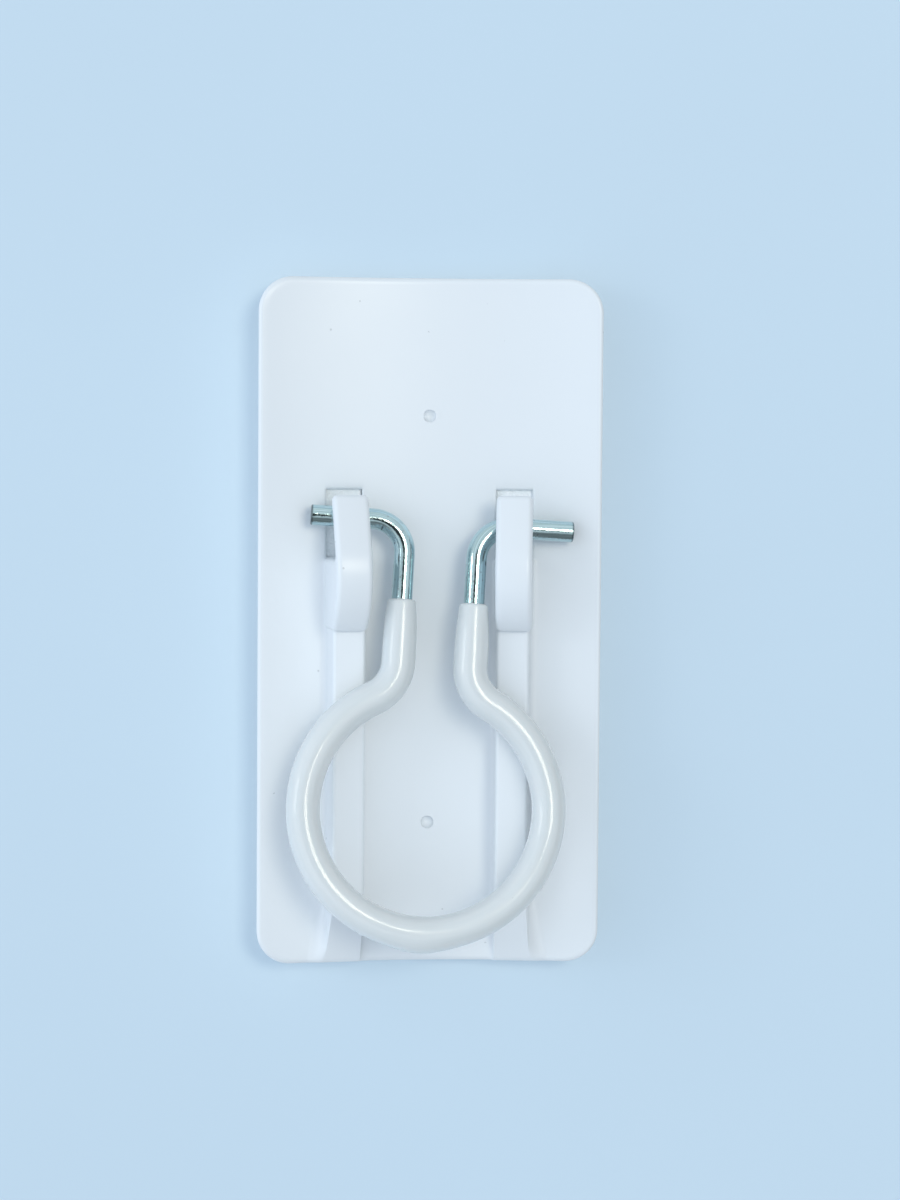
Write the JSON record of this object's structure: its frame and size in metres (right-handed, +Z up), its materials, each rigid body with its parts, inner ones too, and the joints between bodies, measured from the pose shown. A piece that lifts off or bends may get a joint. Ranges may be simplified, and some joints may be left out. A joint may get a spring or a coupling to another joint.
{
  "type": "mop holder",
  "caption": "Dished wall plate with moulded hooks and ribs, carrying a swinging vinyl-coated wire ring that jams on a mop or broom pole pushed up through it.",
  "frame": {"origin": "middle of the adhesive pad's flat back, on the wall", "axes": "+Z up along the plate's height as it hangs on the wall, +Y into the wall, so the front faces -Y, +X to the right as seen from the front"},
  "size_m": [0.05, 0.0185, 0.1],
  "materials": {
    "plate_plastic": "white, satin",
    "pad_foam": "matt closed-cell foam",
    "zinc_wire": "bright zinc plating",
    "vinyl": "translucent dipped vinyl"
  },
  "bodies": {
    "base": {"base_plate": "plate_plastic", "adhesive_pad": "pad_foam"},
    "ring": {"wire_ring": "zinc_wire", "vinyl_coat": "vinyl"}
  },
  "joints": [
    {"name": "ring_swing", "type": "hinge", "parent": "base", "child": "ring", "pos_m": [0.0016, -0.00741, 0.0145], "axis": [-0.998, 0, 0.0628], "range_deg": [0, 170]}
  ]
}
